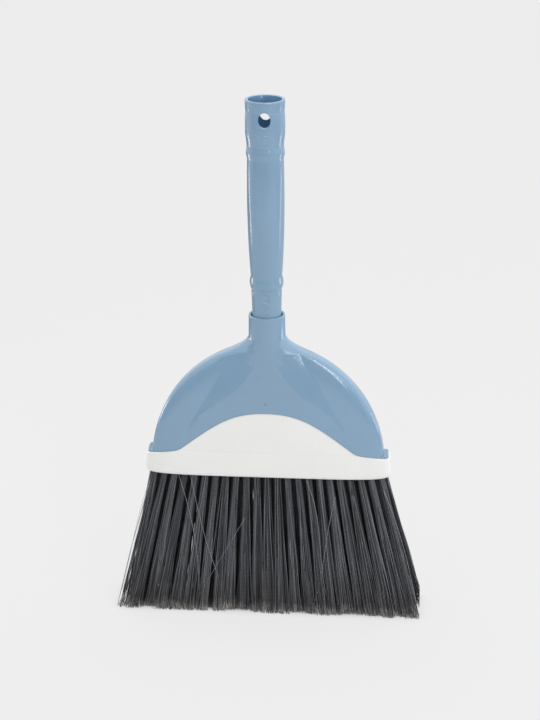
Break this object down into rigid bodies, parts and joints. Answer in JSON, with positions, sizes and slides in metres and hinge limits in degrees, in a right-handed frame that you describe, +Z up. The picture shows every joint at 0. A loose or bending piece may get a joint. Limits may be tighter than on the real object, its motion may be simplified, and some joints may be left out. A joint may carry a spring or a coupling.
{
  "type": "floor broom",
  "caption": "Floor broom with a fan-shaped two-part head, a splayed brush of filament tufts and a hollow grip handle with a hang hole that pushes into the head.",
  "frame": {"origin": "centre of the footprint, on the plane of the bristle tips", "axes": "+Z up along the handle; X along the width of the head; the front faces -Y"},
  "size_m": [0.2351, 0.0414, 0.3996],
  "materials": {
    "handle_plastic": "satin moulded plastic",
    "cover_plastic": "satin gloss moulded plastic",
    "block_plastic": "satin moulded plastic",
    "filament": "fine drawn filament, split at the tips"
  },
  "bodies": {
    "head": {"head_cover": "cover_plastic", "bristle_block": "block_plastic", "tuft_column_01": "filament", "tuft_column_02": "filament", "tuft_column_03": "filament", "tuft_column_04": "filament", "tuft_column_05": "filament", "tuft_column_06": "filament", "tuft_column_07": "filament", "tuft_column_08": "filament", "tuft_column_09": "filament", "tuft_column_10": "filament", "tuft_column_11": "filament", "tuft_column_12": "filament", "tuft_column_13": "filament", "tuft_column_14": "filament", "tuft_column_15": "filament", "tuft_column_16": "filament", "tuft_column_17": "filament", "tuft_column_18": "filament", "tuft_column_19": "filament", "tuft_column_20": "filament", "tuft_column_21": "filament", "tuft_column_22": "filament", "tuft_column_23": "filament"},
    "handle": {"handle_tube": "handle_plastic"}
  },
  "joints": [
    {"name": "handle_pull", "type": "slide", "parent": "head", "child": "handle", "axis": [0, 0, 1], "range_m": [0, 0.0335]}
  ]
}
